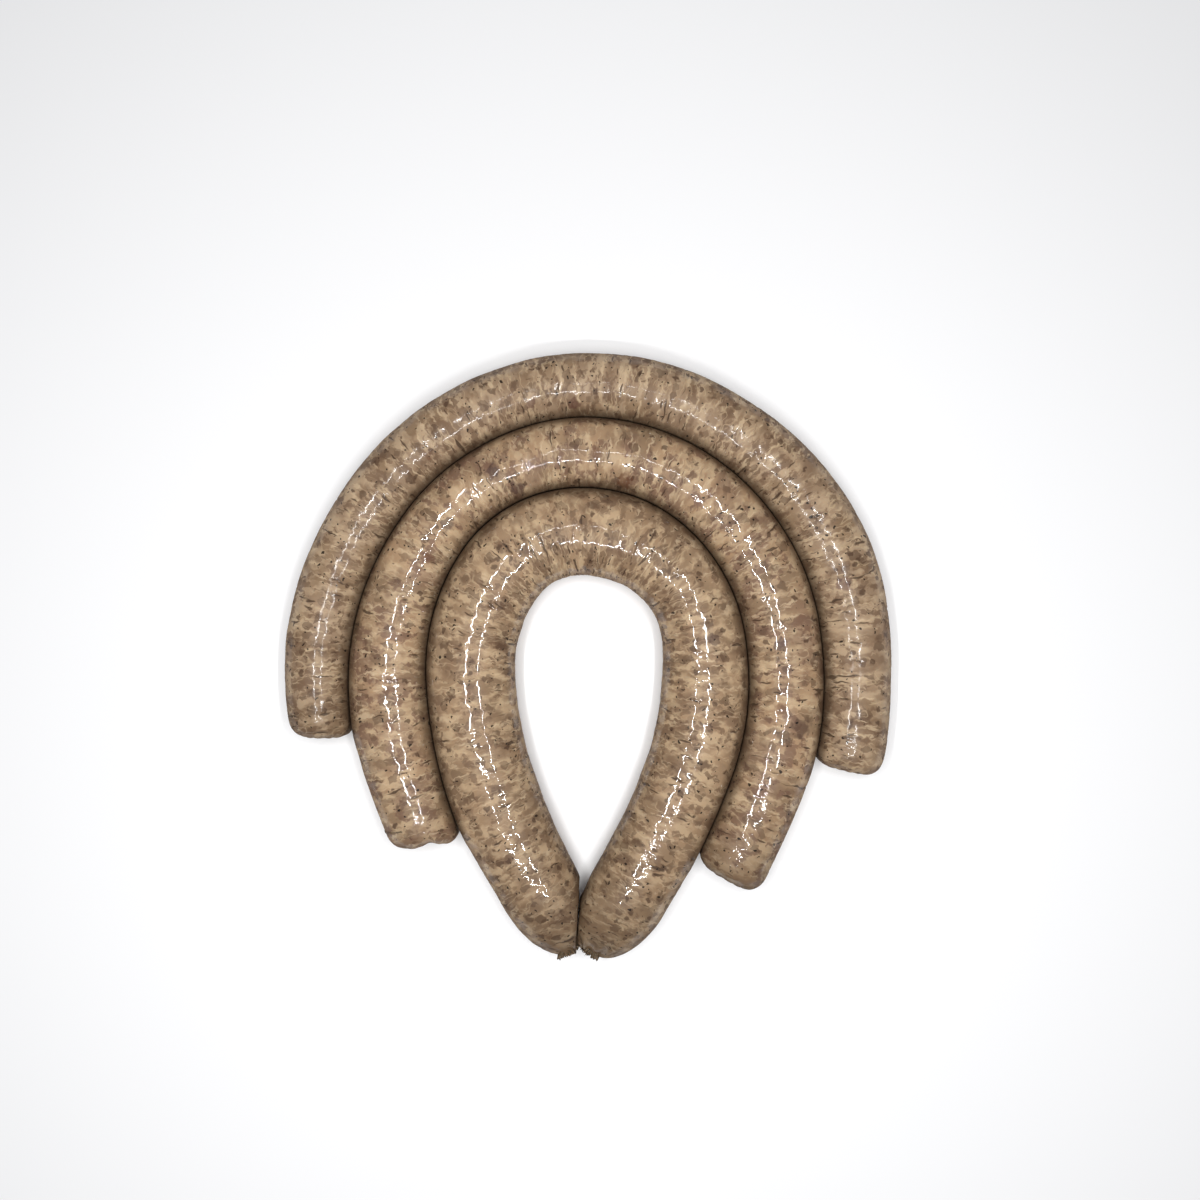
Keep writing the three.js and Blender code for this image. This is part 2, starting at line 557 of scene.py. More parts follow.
@dataclass(frozen=True)
class Filling:
    """How the skins are filled, and how they press on each other and on what they lie on."""

    fullness: float = 2.2
    give: float = 0.4
    sag: float = 1.3
    press: float = 0.6
    press_fade: float = 8
    gap: float = 0.4
    seam: tuple[float, float] = (-0.9, -126.5)
    seam_lean: float = 0.06
    seam_reach: float = 40
    tip_pull: float = 1.9


class Side(Enum):
    """The ends of a link, with the direction inwards from each."""

    LEFT = 1
    RIGHT = -1


@dataclass
class Spine:
    """The rings of a link, as columns of numbers that the skin's tree reads."""

    link: Link
    inside: tuple[Link, ...]
    line: BendingLine
    filling: Filling
    step: float = 0.6
    cap_rings: int = 40
    length_samples: int = 400
    columns: dict[str, list[Any]] = field(default_factory=dict)

    def offset(self, s: float) -> float:
        """How far out from the bending line the link's middle lies at s."""
        if not self.inside:
            return 0.0
        widths = 2 * sum(link.half_width(s) for link in self.inside)
        return widths - self.inside[0].half_width(s) + self.link.half_width(s)

    def pressure(self, stretch: tuple[float, float] | None, s: float) -> float:
        """1 beside a neighbour, easing to 0 past its ends."""
        if stretch is None:
            return 0.0
        fade = self.filling.press_fade
        rising = ease((s - stretch[0] + fade) / fade)
        return rising * (1 - ease((s - stretch[1]) / fade))

    def dusk(self, s: float) -> float:
        """How much painted shade darkens the skin near its ends."""
        return sum(
            end.shade * math.exp(-abs(s - tip) / end.shade_reach)
            for tip, end in zip(self.link.span, self.link.ends)
        )

    def cap(self, end: EndShape) -> list[tuple[float, float]]:
        """The depth and the size of each ring of an end, from its tip inwards."""
        rings = [(end.dimple - end.stub, 0.0)]
        if end.stub:
            for rest in (1.0, 0.75, 0.5, 0.25):
                rings.append((-end.stub * rest, end.stub_size - end.stub_taper * rest))
        for i in range(1, self.cap_rings + 1):
            turn = (i / self.cap_rings) * math.pi / 2
            size = math.sin(turn) ** (2 / end.roundness)
            if end.stub and size < end.stub_size + 0.01:
                continue
            depth = end.length * (1 - max(math.cos(turn), 0.0) ** (2 / end.roundness))
            rings.append((depth + end.dimple * (1 - size) ** 2, size))
        return rings

    def add_ring(self, s: float, depth: float, size: float, side: Side | None) -> None:
        """Adds one ring to the columns.

        Args:
            s: its place along the bending line.
            depth: its distance in from the end.
            size: its size as a share of the full section.
            side: the end that it belongs to, or None on the body.
        """
        filling, link = self.filling, self.link
        end, inward = BLUNT, 0
        if side is not None:
            end = link.ends[0 if side is Side.LEFT else 1]
            inward = side.value
        point, outward, bend = self.line.at(s)
        offset = self.offset(s)
        stretch = 1 + bend * offset
        half = link.half_width(s)
        half_height = link.rise + filling.give * (link.rise - half) + filling.sag / 2
        fade = inward * stretch * math.exp(-max(depth, 0) / end.length)
        near_left = s < link.span[0] + filling.seam_reach
        near_right = s > link.span[1] - filling.seam_reach
        middle = point + outward * offset
        row = {
            "centre": (middle[0] * MM, middle[1] * MM, 0.0),
            "outward": (outward[0], outward[1], 0.0),
            "onward": (outward[1], -outward[0], 0.0),
            "half": half * MM,
            "half_height": half_height * MM,
            "size": size,
            "level": (2 * half_height - filling.sag) * end.level * MM,
            "press_in": self.pressure(link.pressed_in, s),
            "press_out": self.pressure(link.pressed_out, s),
            "slant": fade * end.slant,
            "fold": fade * end.fold * MM,
            "seam": float(near_right - near_left) if link.meets_itself else 0.0,
            "bend": bend / stretch / MM,
            "pleat": end.pleat * math.exp(-max(depth, 0) / end.pleat_reach) if side else 0.0,
            "dusk": self.dusk(s),
        }
        for name, value in row.items():
            self.columns.setdefault(name, []).append(value)

    def build(self) -> None:
        """Works out all the rings from the left end to the right, and the length so far."""
        spots: dict[Side, list[tuple[float, float, float, Side | None]]] = {}
        for side, tip, end in zip(Side, self.link.span, self.link.ends):
            stretch = 1 + self.line.at(tip)[2] * self.offset(tip)
            spots[side] = [
                (tip + side.value * depth / stretch, depth, size, side)
                for depth, size in self.cap(end)
            ]
        start, stop = spots[Side.LEFT][-1][0], spots[Side.RIGHT][-1][0]
        middles = []
        for s in np.linspace(start, stop, self.length_samples):
            point, outward, _ = self.line.at(s)
            middles.append(point + outward * self.offset(s))
        length = float(np.linalg.norm(np.diff(middles, axis=0), axis=1).sum())
        count = round(length / self.step)
        body = [(start + (stop - start) * i / count, 0.0, 1.0, None) for i in range(1, count)]
        for spot in [*spots[Side.LEFT], *body, *reversed(spots[Side.RIGHT])]:
            self.add_ring(*spot)
        centres = np.array(self.columns["centre"])
        runs = np.linalg.norm(np.diff(centres, axis=0), axis=1)
        along = np.concatenate([[0.0], np.cumsum(runs)])
        self.columns["along"] = [float(a) for a in along - along.mean()]

    @property
    def rings(self) -> int:
        """How many rings there are."""
        return len(self.columns["centre"])

    def plan(self) -> np.ndarray:
        """Points of its outline on the plan, which show how far it reaches."""
        centre = np.array(self.columns["centre"])[:, :2]
        outward = np.array(self.columns["outward"])[:, :2]
        half = np.array(self.columns["half"]) - self.filling.gap / 2 * MM
        reach = (half * np.array(self.columns["size"]))[:, None] * outward
        return np.concatenate([centre - reach, centre + reach])

    def move(self, shift: np.ndarray) -> None:
        """Moves the rings on the plan."""
        self.columns["centre"] = [
            (x + shift[0], y + shift[1], z) for x, y, z in self.columns["centre"]
        ]

    def mesh(self) -> bpy.types.Mesh:
        """The rings as loose points, with their numbers as attributes."""
        mesh = bpy.data.meshes.new(self.link.node + "_spine")
        mesh.from_pydata(self.columns["centre"], [], [])
        for name, values in self.columns.items():
            data = np.array(values, dtype=np.float32)
            kind, slot = ("FLOAT_VECTOR", "vector") if data.ndim == 2 else ("FLOAT", "value")
            mesh.attributes.new(name, kind, "POINT").data.foreach_set(slot, data.ravel())
        return mesh


# The skins


@dataclass(frozen=True)
class Relief:
    """How high the unevenness of a skin stands, in millimetres, and how far it is set in."""

    lumps: float = 0.28
    grains: float = 0.07
    wrinkles: float = 0.05
    creases: float = 0.22
    set_in: float = 0.1


class SkinTree(GeometryTree):
    """The geometry tree that draws a link's skin round its spine."""

    def __init__(self, patterns: SkinPatterns, inputs: Mapping[str, Any]) -> None:
        """Makes the tree, whose geometry input is a spine."""
        super().__init__("sausage_skin", inputs)
        self.patterns = patterns
        skin, self.ring, self.angle = self.ball(self.given["Rings"], self.given["Facets"])
        self.close(self.roughen(self.shape(skin)))

    def column(self, name: str) -> Any:
        """A column of the spine, read at each point's ring."""
        kind = "FLOAT_VECTOR" if name in ("centre", "outward", "onward") else "FLOAT"
        make = self.number if kind == "FLOAT" else self.vector
        value = self.read(name, kind)
        sockets = {"Geometry": self.given["Geometry"], "Value": value, "Index": self.ring}
        settings = {"data_type": kind, "domain": "POINT"}
        return make("GeometryNodeSampleIndex", settings, sockets, "Value")

    def shape(self, skin: Wire) -> Wire:
        """Draws a ball out into rings, which are squared-off ellipses pressed at their sides.

        Args:
            skin: the ball.

        Returns:
            The shaped skin, with what the relief and the finish read stored on it.
        """
        given = self.given
        soft = 0.3 * MM
        fold_middle, fold_width = -2.0 * MM, 3.0 * MM
        half, size = self.column("half"), self.column("size")
        exponent = 2.0 / given["Fullness"]
        across, upward = self.angle.cos(), self.angle.sin()
        across = across.sign() * abs(across) ** exponent
        upward = upward.sign() * abs(upward) ** exponent
        press = across.above(0.0).blend(self.column("press_in"), self.column("press_out"))
        limit = half - given["Gap"] * 0.5
        full_u = (across * (half + given["Press"] * press)).least(limit, soft).most(-limit, soft)
        full_z = (upward + 1.0) * self.column("half_height") - given["Sag"]
        u = full_u * size
        z = size.blend(self.column("level"), full_z.most(0.0, soft))
        fold = (u - fold_middle) / fold_width
        back = self.column("slant") * u + self.column("fold") * (fold * fold * -1.0).exp()
        plan = self.column("outward").scaled(u) + self.column("onward").scaled(back)
        place = self.column("centre") + plan + self.combine(0.0, 0.0, z)
        side = self.column("seam")
        place = self.keep_to_side(place, side)
        skin = self.wire("GeometryNodeSetPosition", {}, {"Geometry": skin, "Position": place})

        touching = (abs(u) / limit).ease(0.9, 0.99) * press
        pleats = (self.angle * given["Pleats"]).sin() * self.column("pleat")
        # Painted shade, stored for the finish: darker beside a neighbour, along the seam, and near the
        # ends.
        contact = (abs(u) / limit).ease(0.68, 1.0) * press
        seam_shade = self.clearance(place, side).ease(5.0 * MM, 0.0) * abs(side)
        values = {
            UNBENT: self.combine(u, z, self.column("along") + back).scaled(1 / MM),
            SQUEEZE: u * self.column("bend") * -1.0,
            PLEATS: pleats * size.ease(0.0, 0.3),
            SHADE: contact.most(seam_shade).most(self.column("dusk")),
            FREE: (1.0 - touching) * (z / MM).ease(0.1, 2.5),
        }
        return self.store(skin, values)

    def clearance(self, place: Vector, side: Number) -> Number:
        """How far a place lies on its own side of the seam, and 0 away from the link's ends."""
        x, y, _ = place.parts()
        seam_x, seam_y, _ = self.given["Seam"].parts()
        return (x - seam_x - (y - seam_y) * self.given["Seam Lean"]) * side

    def keep_to_side(self, place: Vector, side: Number) -> Vector:
        """Keeps a place on its own side of the seam, and draws the tips against it.

        Args:
            place: where a point would be without the seam.
            side: 1 where it keeps to the right of the seam, -1 to the left, and 0 away from it.

        Returns:
            The place, moved off the seam where it would cross it.
        """
        given = self.given
        clear = self.clearance(place, side)
        past = given["Seam"].parts()[1] - place.parts()[1]
        pull = past.ease(-8.0 * MM, 8.0 * MM) * clear.ease(10.0 * MM, 2.0 * MM)
        kept = (clear - pull * given["Tip Pull"]).most(given["Gap"] * 0.3, 0.4 * MM)
        return place + self.combine((kept - clear) * side, 0.0, 0.0)

    def roughen(self, skin: Wire) -> Wire:
        """Adds the relief: swellings, grains, wrinkles, creases, and pleats at the ends."""
        given, patterns = self.given, self.patterns
        unbent = self.read(UNBENT, "FLOAT_VECTOR")
        tight = self.read(SQUEEZE).ease(-0.35, 0.45)
        upper = unbent.parts()[1].ease(3.0, 12.0)
        fine = patterns.wrinkles(unbent) * given["Wrinkle Height"] * (tight * 1.4 + 0.2)
        fine = fine - patterns.creases(unbent, tight, 0.04) * given["Crease Depth"]
        height = (
            patterns.lumps(unbent) * given["Lump Height"]
            + patterns.grains(unbent) * given["Grain Height"]
            + fine * (upper * (1 - LOW_RELIEF) + LOW_RELIEF)
            + self.read(PLEATS)
            - given["Set In"]
        )
        offset = self.vector("GeometryNodeInputNormal").scaled(height * self.read(FREE) * MM)
        return self.wire("GeometryNodeSetPosition", {}, {"Geometry": skin, "Offset": offset})


# Gathered casing


@dataclass(frozen=True)
class Frill:
    """The sizes of the loose casing past a gathered end, in millimetres."""

    root_radius: float
    lip_radius: float
    aside: float
    length: float = 3.0
    set_back: float = 4.1
    lift: float = 4.0
    wall: float = 0.2
    pleats: int = 17
    pleat_depth: float = 0.55
    fray: float = 1.6
    rings: int = 24
    facets: int = 128


class FrillTree(GeometryTree):
    """The geometry tree of the loose casing past a gathered end: a short pleated, ragged tube."""

    def __init__(self, inputs: Mapping[str, Any]) -> None:
        """Makes the tree."""
        super().__init__("gathered_casing", inputs)
        given = self.given
        frill, ring, angle = self.ball(given["Rings"], given["Facets"])
        share = ring / given["Rings"]
        # Out to the lip along the outside, and back along the inside.
        run = 1.0 - abs(share * 2.0 - 1.0)
        outer = share.ease(0.52, 0.48)
        pole = (ring * (given["Rings"] - ring)).least(1.0)
        around = self.combine(angle.cos() * 2.2, angle.sin() * 2.2, given["Seed"])
        fray = (around * (3.0, 3.0, 1.0)).noise(2.0, 0.7)
        sway = (around + self.combine(0.0, 0.0, run * 1.2)).noise()
        length = given["Length"] * (1.0 + (fray - 0.5) * given["Fray"])
        wave = (angle * given["Pleats"] + sway * 9.0).sin()
        radius = run.blend(given["Root Radius"], given["Lip Radius"])
        radius = radius * (0.75 + sway * 0.5) + wave * given["Pleat Depth"] * run
        radius = (radius - (1.0 - outer) * given["Wall"]).most(0.05 * MM) * pole
        aside, height = radius * angle.cos(), radius * angle.sin()
        plan = given["Onward"].scaled(run * length) + given["Outward"].scaled(aside)
        place = given["Origin"] + plan + self.combine(0.0, 0.0, height)
        frill = self.wire("GeometryNodeSetPosition", {}, {"Geometry": frill, "Position": place})
        values = {
            UNBENT: self.combine(aside, height, run * length).scaled(1 / MM),
            SQUEEZE: run * 0.0,
            # Painted shade: the valleys between the pleats are darker.
            SHADE: (0.5 - wave * 0.5) * run,
        }
        self.close(self.store(frill, values))


# Finishes


@dataclass(frozen=True)
class Blots:
    """Patches of noise: their size, how detailed they are, and where their edges lie."""

    marks: Marks
    detail: float
    edges: tuple[float, float]
    roughness: float = 0.6

    def mask(self, patterns: SkinPatterns, spot: Vector) -> Number:
        """1 in the patches, and 0 elsewhere."""
        noise = patterns.place(spot, self.marks).noise(self.detail, self.roughness)
        return noise.ease(*self.edges)


@dataclass(frozen=True)
class Chunks:
    """Angular pieces side by side, of which a share is left out."""

    marks: Marks
    left_out: float
    faintest: float = 0.2

    def mask(self, patterns: SkinPatterns, spot: Vector) -> Number:
        """Up to 1 in each piece, by how dark it is, and 0 elsewhere."""
        _, chance, darkness = patterns.place(spot, self.marks).cells()
        return chance.above(self.left_out) * (darkness * (1 - self.faintest) + self.faintest)


@dataclass(frozen=True)
class Veins:
    """Thin arcs that run round the link, where patches of noise let them show."""

    marks: Marks = Marks(8, 2.8, 61.0)
    sharpness: float = 26.0
    patches: Blots = Blots(Marks(7, 6, 62.0), 0.0, (0.45, 0.6), 0.5)

    def mask(self, patterns: SkinPatterns, spot: Vector) -> Number:
        """1 in the middle of an arc, and 0 elsewhere."""
        wave = patterns.place(spot.pushed(0.25, 3.5), self.marks).noise()
        arcs = (1.0 - abs(wave - 0.5) * self.sharpness).most(0.0)
        return arcs * self.patches.mask(patterns, spot)


@dataclass(frozen=True)
class Specks:
    """Round specks in loose clusters.

    Their largest size and the width of their soft edges are shares of the distance apart. The
    rarity is 0.5 where nearly all the places have a speck, and 1.6 where none has.
    """

    marks: Marks
    size: float
    rarity: float
    softness: float
    smallest: float = 0.25
    cluster: float = 9.0
    clustering: float = 0.9

    def mask(self, patterns: SkinPatterns, spot: Vector) -> Number:
        """1 in a speck, and 0 elsewhere."""
        distance, chance, share = patterns.place(spot, self.marks).cells()
        marks = Marks(self.cluster, self.cluster, self.marks.start + self.cluster)
        clusters = patterns.place(spot, marks).noise(0.0)
        size = (share * (1 - self.smallest) + self.smallest) * self.size
        reach = size * (chance + clusters * self.clustering).above(self.rarity)
        return (reach - distance).ease(0.0, self.softness)


@dataclass(frozen=True)
class Layer:
    """A colour of the palette, laid over the ones before it where its pattern shows."""

    color: str
    pattern: Blots | Chunks | Veins | Specks
    strength: float
    ragged: bool = True


FILLING_LAYERS = (
    Layer("filling_pale", Blots(Marks(9, 3.6, 53.0), 2.0, (0.44, 0.62)), 0.9),
    Layer("meat", Blots(Marks(12, 7, 57.0), 2.0, (0.48, 0.64)), 0.5, ragged=False),
    Layer("meat", Blots(Marks(6.5, 4.2, 67.0), 3.0, (0.525, 0.6)), 0.7),
    Layer("meat_dark", Chunks(Marks(3.1, 2.4, 58.0), 0.8), 0.6),
    Layer("fat", Blots(Marks(7, 1.5, 59.0), 2.0, (0.56, 0.7)), 0.65),
    Layer("vein", Veins(), 0.5, ragged=False),
    Layer("meat_dark", Specks(Marks(3.2, 2.6, 65.0), 0.45, 1.08, 0.16), 0.75),
    Layer("stain", Specks(Marks(17, 14, 66.0), 0.24, 1.2, 0.1), 0.6),
)
PEPPER = Layer("pepper", Specks(Marks(1.6, 1.4, 63.0), 0.34, 1.1, 0.06), 0.9)


@dataclass(frozen=True)
class Stain:
    """A dark piece of meat under the casing: where it lies on the unbent link, and its reach."""

    place: tuple[float, float, float]
    reach: float
    color: str = "#54403a"
    core: float = 0.65

    def mask(self, spot: Vector) -> Number:
        """1 in the piece, and 0 elsewhere."""
        return (spot - self.place).length().ease(self.reach, self.reach * self.core)


@dataclass(frozen=True)
class CasingFinish:
    """Moist natural casing over a coarse, pale, seasoned filling."""

    name: str
    seed: float
    filling: str = "#aa8d6f"
    filling_pale: str = "#c8ac8a"
    filling_grey: str = "#967c61"
    meat: str = "#765c48"
    meat_dark: str = "#543e30"
    fat: str = "#d8be9c"
    vein: str = "#d2b894"
    crease_shade: str = "#463428"
    pepper: str = "#1a1410"
    stain: str = "#6a4430"
    shadow: str = "#4c3a2a"
    tone: float = 0.84
    roughness: float = 0.42
    coat: float = 1.0
    coat_roughness: float = 0.045
    ladder: float = 1.0
    ladder_marks: Marks = Marks(3.8, 1.1, 81.0)
    pore_marks: Marks = Marks(0.9, 0.7, 82.0)
    pore_depth: float = 0.03
    crack_depth: float = 0.12
    stain_strength: float = 0.65
    crease_shade_strength: float = 0.8
    shadow_strength: float = 0.78
    stains: tuple[Stain, ...] = ()

    def build(self) -> bpy.types.Material:
        """Makes the material."""
        material = bpy.data.materials.new(self.name)
        material.use_nodes = True
        material.node_tree.nodes.clear()
        graph = Graph(material.node_tree)
        spot = graph.vector("ShaderNodeAttribute", {"attribute_name": UNBENT}, {}, "Vector")
        squeeze = graph.number("ShaderNodeAttribute", {"attribute_name": SQUEEZE}, {}, "Fac")
        shade = graph.number("ShaderNodeAttribute", {"attribute_name": SHADE}, {}, "Fac")
        patterns = SkinPatterns(self.seed)
        facing = graph.number("ShaderNodeLayerWeight", {}, {"Blend": 0.5}, "Facing")
        rim = facing.ease(0.35, 0.75)
        cracks = patterns.creases(spot, squeeze.ease(-0.1, 0.4))
        height = self.height(patterns, spot, squeeze, cracks)
        sockets = {"Strength": 1.0, "Distance": MM, "Height": height}
        normal = graph.vector("ShaderNodeBump", {}, sockets)
        dry = patterns.place(spot, Marks(6, 3.5, 71.0)).noise()
        sockets = {
            "Base Color": self.color(patterns, spot, cracks, shade),
            "Roughness": (dry - 0.5) * 0.3 + rim * 0.3 + self.roughness,
            "Normal": normal,
            "IOR": 1.4,
            "Specular IOR Level": 0.2,
            "Subsurface Weight": 0.1,
            "Subsurface Radius": (1.0, 0.5, 0.3),
            "Subsurface Scale": 1.5 * MM,
            "Coat Weight": dry.ease(0.68, 0.4) * (1.0 - rim) * self.coat,
            "Coat Roughness": self.coat_roughness,
            "Coat IOR": 1.5,
        }
        shader = graph.wire("ShaderNodeBsdfPrincipled", {}, sockets)
        graph.add("ShaderNodeOutputMaterial", {}, {"Surface": shader})
        return material

    def color(
        self, patterns: SkinPatterns, spot: Vector, cracks: Number, shade: Number
    ) -> Vector:
        """Lays the colours one over another.

        Args:
            patterns: the patterns of this skin.
            spot: the place on the unbent link.
            cracks: where the fine creases are.
            shade: the painted shade, which is 1 where the skin meets another and eases to 0 away from
                it, and which also darkens the seam and the ends.

        Returns:
            The colour.
        """
        ragged, torn = spot.pushed(0.55, 2.2), spot.pushed(0.45, 5.0)
        broad = Blots(Marks(16, 11, 51.0), 1.0, (0.35, 0.65)).mask(patterns, spot)
        color = broad.tint(self.paint(self.filling), self.paint(self.filling_grey))
        for layer in FILLING_LAYERS:
            mask = layer.pattern.mask(patterns, ragged if layer.ragged else spot)
            color = (mask * layer.strength).tint(color, self.paint(getattr(self, layer.color)))
        for stain in self.stains:
            color = (stain.mask(torn) * self.stain_strength).tint(color, self.paint(stain.color))
        # Painted shade in the fine creases, which the relief and the bump also cut in.
        color = (cracks * self.crease_shade_strength).tint(color, self.paint(self.crease_shade))
        # Painted shade beside the neighbouring links, at the seam and near the ends.
        color = (shade**1.2 * self.shadow_strength).tint(color, self.paint(self.shadow))
        pepper = PEPPER.pattern.mask(patterns, ragged) * PEPPER.strength
        return pepper.tint(color, self.paint(self.pepper))

    def paint(self, code: str) -> tuple[float, float, float, float]:
        """A colour of the palette, at the finish's own tone."""
        red, green, blue, _ = linear(code)
        return (red * self.tone, green * self.tone, blue * self.tone, 1.0)

    def height(
        self, patterns: SkinPatterns, spot: Vector, squeeze: Number, cracks: Number
    ) -> Number:
        """The fine relief, in millimetres, which fades low on the link's sides.

        Args:
            patterns: the patterns of this skin.
            spot: the place on the unbent link.
            squeeze: how much the casing is gathered along the link. It ripples where it is.
            cracks: where the fine creases are.

        Returns:
            The height.
        """
        ladder = patterns.place(spot.pushed(0.6, 0.9), self.ladder_marks).noise(3.0, 0.6)
        ladder = ladder * (0.05 + squeeze.ease(-0.02, 0.16) * 0.2) * self.ladder
        pores = patterns.place(spot, self.pore_marks).noise(0.0) * self.pore_depth
        upper = spot.parts()[1].ease(8.0, 20.0) * (1 - LOW_RELIEF) + LOW_RELIEF
        return (ladder + pores) * upper - cracks * self.crack_depth


# The string


@dataclass
class SausageString:
    """All the links, each with its skin, and the gathered casing of the innermost one."""

    line: BendingLine = BendingLine()
    filling: Filling = Filling()
    relief: Relief = Relief()
    most_triangles: int = 196_000
    pleats: int = 13
    finishes: tuple[CasingFinish, ...] = (
        CasingFinish("inner_casing", 11.0, ladder=1.3, stains=(Stain((2.3, 27.0, 57.3), 2.6),)),
        CasingFinish(
            "middle_casing",
            47.0,
            filling="#b29373",
            meat="#7a5c4c",
            stains=(
                Stain((-8.8, 22.0, 7.1), 3.6, "#643a24"),
                Stain((-7.9, 22.9, -34.4), 3.4),
                Stain((0.4, 26.3, -39.5), 2.7),
                Stain((-3.4, 25.7, -62.4), 2.9),
                Stain((-2.5, 24.9, 93.4), 2.4),
                Stain((5.0, 24.3, 120.6), 3.6, "#584439"),
                Stain((-1.0, 25.0, 124.0), 2.4, "#584439"),
            ),
        ),
        CasingFinish(
            "outer_casing",
            83.0,
            filling="#a2886e",
            filling_pale="#bea486",
            coat=0.5,
            coat_roughness=0.1,
            ladder=0.8,
            stains=(
                Stain((-7.4, 21.9, -13.1), 2.6, "#64443a"),
                Stain((-5.3, 23.5, -28.3), 2.0, "#64443a"),
                Stain((-2.2, 23.6, 109.4), 3.2, "#66463e"),
            ),
        ),
    )
    frills: tuple[Frill, ...] = (Frill(2.8, 4.0, -2.0), Frill(2.0, 3.0, -1.4))

    def shift(self, spines: list[Spine]) -> np.ndarray:
        """How far the string is moved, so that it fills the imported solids' box on the plan."""
        outline = np.concatenate([spine.plan() for spine in spines])
        middle = (outline.min(axis=0) + outline.max(axis=0)) / 2
        target = (np.array(CAD_BOUNDS[0]) + np.array(CAD_BOUNDS[1]))[:2] / 2
        return target - middle

    def build(self) -> None:
        """Makes and dresses every piece, from the innermost link outwards."""
        spines = [Spine(link, LINKS[:i], self.line, self.filling) for i, link in enumerate(LINKS)]
        for spine in spines:
            spine.build()
        shift = self.shift(spines)
        seam = np.array(self.filling.seam) * MM + shift
        for spine, finish in zip(spines, self.finishes):
            spine.move(shift)
            self.make_skin(spine, finish, seam)
            if spine.link.meets_itself:
                # The loose casing's near-black shadow colour is the painted shade of its pleat
                # valleys.
                dried = replace(
                    finish, name="gathered_casing", shadow="#120c08", tone=0.22, coat=0.3
                )
                material = dried.build()
                for side, frill in zip(Side, self.frills):
                    self.make_frill(spine, side, frill, material)

    def make_skin(self, spine: Spine, finish: CasingFinish, seam: np.ndarray) -> None:
        """Makes the skin of one link.

        Args:
            spine: the link's spine.
            finish: its finish.
            seam: a point on the plan of the seam where the innermost link's tips meet.
        """
        link, filling, relief = spine.link, self.filling, self.relief
        inputs = {
            "Rings": spine.rings - 1,
            "Facets": self.most_triangles // (2 * spine.rings),
            "Fullness": filling.fullness,
            "Press": filling.press * MM,
            "Gap": filling.gap * MM,
            "Sag": filling.sag * MM,
            "Seam": (seam[0], seam[1], 0.0),
            "Seam Lean": filling.seam_lean,
            "Tip Pull": filling.tip_pull * MM,
            "Lump Height": relief.lumps,
            "Grain Height": relief.grains,
            "Wrinkle Height": relief.wrinkles,
            "Crease Depth": relief.creases,
            "Set In": relief.set_in,
            "Pleats": self.pleats,
            "Material": finish.build(),
        }
        skin = SkinTree(SkinPatterns(finish.seed), inputs).grow(link.node + "_skin", spine.mesh())
        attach(skin, BODY)
        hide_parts(link.node)
        report(skin)

    def make_frill(
        self, spine: Spine, side: Side, shape: Frill, material: bpy.types.Material
    ) -> None:
        """Makes the loose casing past one end.

        Args:
            spine: the link's spine.
            side: which end.
            shape: the sizes of the casing.
            material: the casing's material.
        """
        name = f"gathered_casing_{side.name.lower()}"
        ring = 0 if side is Side.LEFT else -1
        outward = spine.columns["outward"][ring]
        onward = -side.value * np.array(spine.columns["onward"][ring])
        level = spine.columns["level"][ring] + shape.lift * MM
        origin = np.array(spine.columns["centre"][ring]) + (shape.aside * MM, 0.0, level)
        inputs = {
            "Origin": tuple(origin - onward * shape.set_back * MM),
            "Onward": tuple(onward),
            "Outward": tuple(outward),
            "Length": shape.length * MM,
            "Root Radius": shape.root_radius * MM,
            "Lip Radius": shape.lip_radius * MM,
            "Wall": shape.wall * MM,
            "Rings": shape.rings,
            "Facets": shape.facets,
            "Pleats": shape.pleats,
            "Pleat Depth": shape.pleat_depth * MM,
            "Fray": shape.fray,
            "Seed": 3.0 + side.value,
            "Material": material,
        }
        frill = FrillTree(inputs).grow(name, bpy.data.meshes.new(name))
        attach(frill, BODY)
        report(frill)


def report(piece: bpy.types.Object) -> None:
    """Logs a piece's size in triangles and in space."""
    piece.data.calc_loop_triangles()
    corners = np.array([vertex.co for vertex in piece.data.vertices])
    low, high = corners.min(axis=0) / MM, corners.max(axis=0) / MM
    count = len(piece.data.loop_triangles)
    log.info("%s: %d triangles, %s to %s mm", piece.name, count, low.round(1), high.round(1))


# The studio


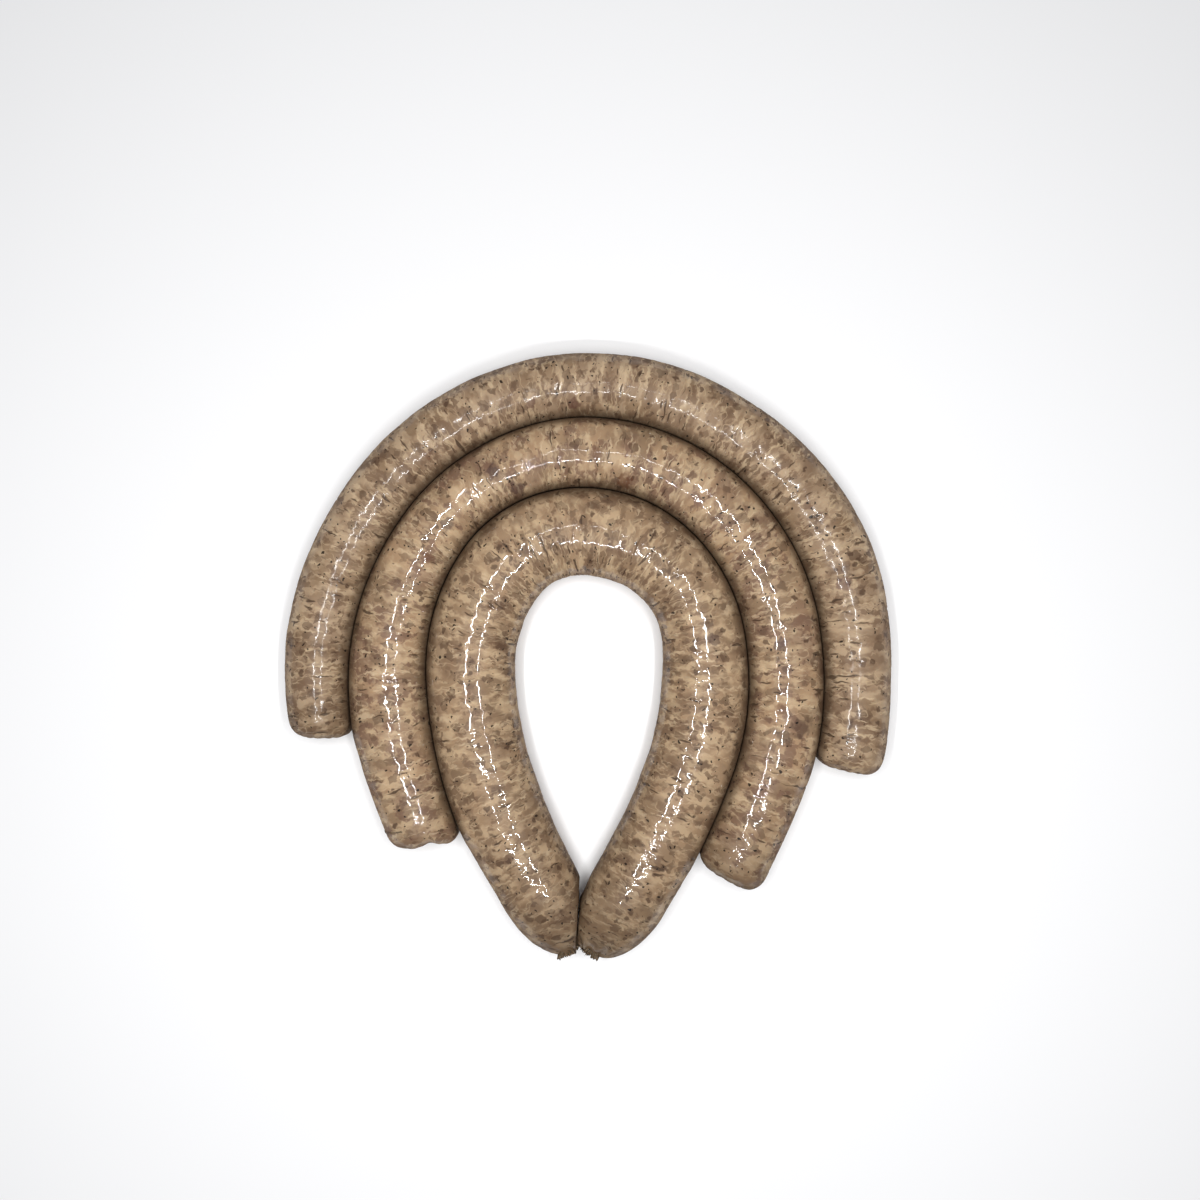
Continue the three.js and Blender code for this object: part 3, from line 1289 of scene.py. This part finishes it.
@dataclass
class Studio:
    """A pale floor, soft light with a square of thin lamps overhead, and the camera."""

    floor_size: float = 3.0
    floor_color: str = "#f1f1f2"
    floor_roughness: float = 0.6
    eye: tuple[float, float, float] = (0.00395, 0.0187, 0.454)
    view_angle: float = 2 * math.atan(600 / 1300)
    lamp_height: float = 0.56
    lamp_spread: float = 0.108
    near_spread: float = 1.4
    lamp_width: float = 0.004
    lamp_power: float = 0.85
    near_lamp_power: float = 0.8
    far_lamp_power: float = 0.12
    overhead_size: float = 0.6
    overhead_place: tuple[float, float, float] = (0.0, 0.05, 1.3)
    overhead_power: float = 6.7
    sky_color: str = "#eef0f4"
    surroundings: float = 0.14

    def build(self) -> None:
        """Makes the floor, the lights and the camera, and shows colours as they are lit."""
        bpy.context.scene.view_settings.view_transform = "Standard"
        self.make_floor()
        self.make_lights()
        self.make_camera()

    def make_floor(self) -> None:
        """Makes the floor that the string lies on."""
        half = self.floor_size / 2
        mesh = bpy.data.meshes.new("floor")
        corners = [(-half, -half, 0), (half, -half, 0), (half, half, 0), (-half, half, 0)]
        mesh.from_pydata(corners, [], [(0, 1, 2, 3)])
        floor = bpy.data.objects.new("floor", mesh)
        bpy.context.scene.collection.objects.link(floor)
        material = bpy.data.materials.new("floor")
        material.use_nodes = True
        shader = material.node_tree.nodes["Principled BSDF"]
        shader.inputs["Base Color"].default_value = linear(self.floor_color)
        shader.inputs["Roughness"].default_value = self.floor_roughness
        mesh.materials.append(material)

    def make_lamp(
        self, name: str, place: tuple[float, float, float], size: tuple[float, float], power: float
    ) -> bpy.types.Object:
        """Hangs one rectangular lamp that shines down on the string."""
        lamp = bpy.data.lights.new(name, "AREA")
        lamp.shape = "RECTANGLE"
        lamp.size, lamp.size_y = size
        lamp.energy = power
        thing = bpy.data.objects.new(name, lamp)
        thing.location = place
        thing.visible_camera = False
        bpy.context.scene.collection.objects.link(thing)
        return thing

    def make_lights(self) -> None:
        """Makes the soft overhead light, the square of thin lamps, and the pale surroundings."""
        size = (self.overhead_size, self.overhead_size)
        soft = self.make_lamp("overhead", self.overhead_place, size, self.overhead_power)
        soft.visible_glossy = False
        spread, width, height = self.lamp_spread, self.lamp_width, self.lamp_height
        near = -spread * self.near_spread
        for name, x, y, size, power in (
            ("strip_left", -spread, 0, (width, 2 * spread), self.lamp_power),
            ("strip_right", spread, 0, (width, 2 * spread), self.lamp_power),
            ("strip_near", 0, near, (2 * spread, width), self.near_lamp_power),
            ("strip_far", 0, spread, (2 * spread, width), self.far_lamp_power),
        ):
            self.make_lamp(name, (x, y, height), size, power)
        world = bpy.data.worlds.new("studio")
        world.use_nodes = True
        background = world.node_tree.nodes["Background"]
        background.inputs["Color"].default_value = linear(self.sky_color)
        background.inputs["Strength"].default_value = self.surroundings
        bpy.context.scene.world = world

    def make_camera(self) -> None:
        """Hangs the camera over the string, looking straight down."""
        camera = bpy.data.cameras.new("camera")
        camera.sensor_fit = "AUTO"
        camera.angle = self.view_angle
        camera.clip_start = 0.01
        thing = bpy.data.objects.new("camera", camera)
        thing.location = self.eye
        bpy.context.scene.collection.objects.link(thing)
        bpy.context.scene.camera = thing


def main() -> None:
    """Builds the string and the studio around it."""
    logging.basicConfig(level=logging.INFO, format="%(name)s: %(message)s")
    SausageString().build()
    Studio().build()


if __name__ == "__main__":
    main()
